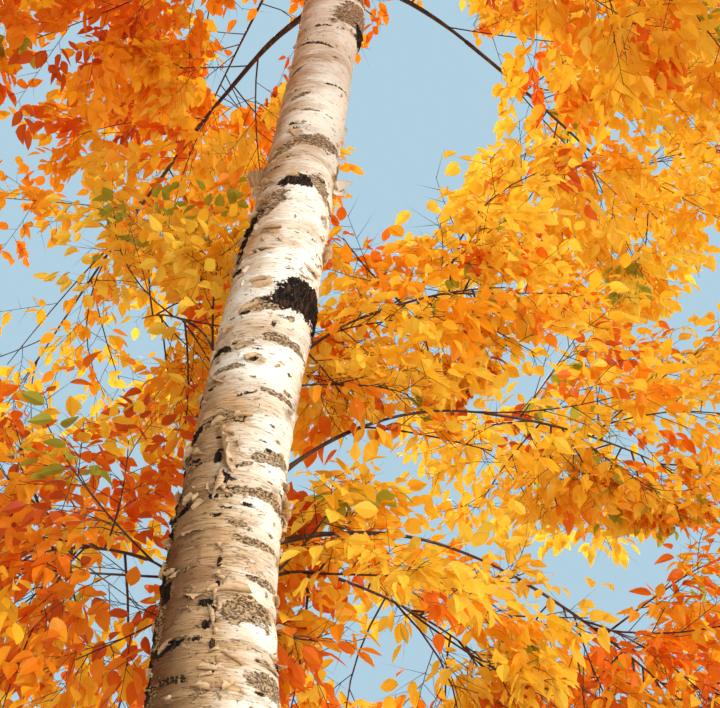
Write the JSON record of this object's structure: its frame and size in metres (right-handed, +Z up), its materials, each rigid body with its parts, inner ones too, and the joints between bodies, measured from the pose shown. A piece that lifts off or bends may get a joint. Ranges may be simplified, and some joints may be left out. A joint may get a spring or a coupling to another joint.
{
  "type": "white birch tree",
  "caption": "Whole birch tree in autumn, rooted in level ground: a leaning white stem with root flare, slender low boughs and an open golden crown.",
  "frame": {"origin": "middle of the flat cut under the stem, at ground level", "axes": "+Z up along the stem, +X to the right and +Y away as the tree is looked at from its front"},
  "size_m": [6.3139, 6.4243, 15.5841],
  "materials": {
    "white_bark": "matt papery bark with dark marks",
    "bough_bark": "smooth red-brown bark",
    "foliage": "thin golden autumn leaves on fine twigs"
  },
  "bodies": {
    "root": {"trunk": "white_bark", "bough_low_1": "bough_bark", "bough_low_2": "bough_bark", "bough_low_3": "bough_bark", "bough_low_4": "bough_bark", "bough_low_5": "bough_bark", "bough_low_6": "bough_bark", "bough_tier1_1": "bough_bark", "bough_tier1_2": "bough_bark", "bough_tier1_3": "bough_bark", "bough_tier1_4": "bough_bark", "bough_tier1_5": "bough_bark", "bough_tier1_6": "bough_bark", "bough_tier2_1": "bough_bark", "bough_tier2_2": "bough_bark", "bough_tier2_3": "bough_bark", "bough_tier2_4": "bough_bark", "bough_tier2_5": "bough_bark", "bough_tier2_6": "bough_bark", "bough_tier3_1": "bough_bark", "bough_tier3_2": "bough_bark", "bough_tier3_3": "bough_bark", "bough_tier3_4": "bough_bark", "bough_tier3_5": "bough_bark", "bough_tier4_1": "bough_bark", "bough_tier4_2": "bough_bark", "bough_tier4_3": "bough_bark", "bough_tier4_4": "bough_bark", "bough_tier5_1": "bough_bark", "bough_tier5_2": "bough_bark", "foliage_low_1": "foliage", "foliage_low_2": "foliage", "foliage_low_3": "foliage", "foliage_low_4": "foliage", "foliage_low_5": "foliage", "foliage_low_6": "foliage", "foliage_tier1_1": "foliage", "foliage_tier1_2": "foliage", "foliage_tier1_3": "foliage", "foliage_tier1_4": "foliage", "foliage_tier1_5": "foliage", "foliage_tier1_6": "foliage", "foliage_tier2_1": "foliage", "foliage_tier2_2": "foliage", "foliage_tier2_3": "foliage", "foliage_tier2_4": "foliage", "foliage_tier2_5": "foliage", "foliage_tier2_6": "foliage", "foliage_tier3_1": "foliage", "foliage_tier3_2": "foliage", "foliage_tier3_3": "foliage", "foliage_tier3_4": "foliage", "foliage_tier3_5": "foliage", "foliage_tier4_1": "foliage", "foliage_tier4_2": "foliage", "foliage_tier4_3": "foliage", "foliage_tier4_4": "foliage", "foliage_tier5_1": "foliage", "foliage_tier5_2": "foliage", "foliage_top": "foliage"}
  },
  "joints": []
}
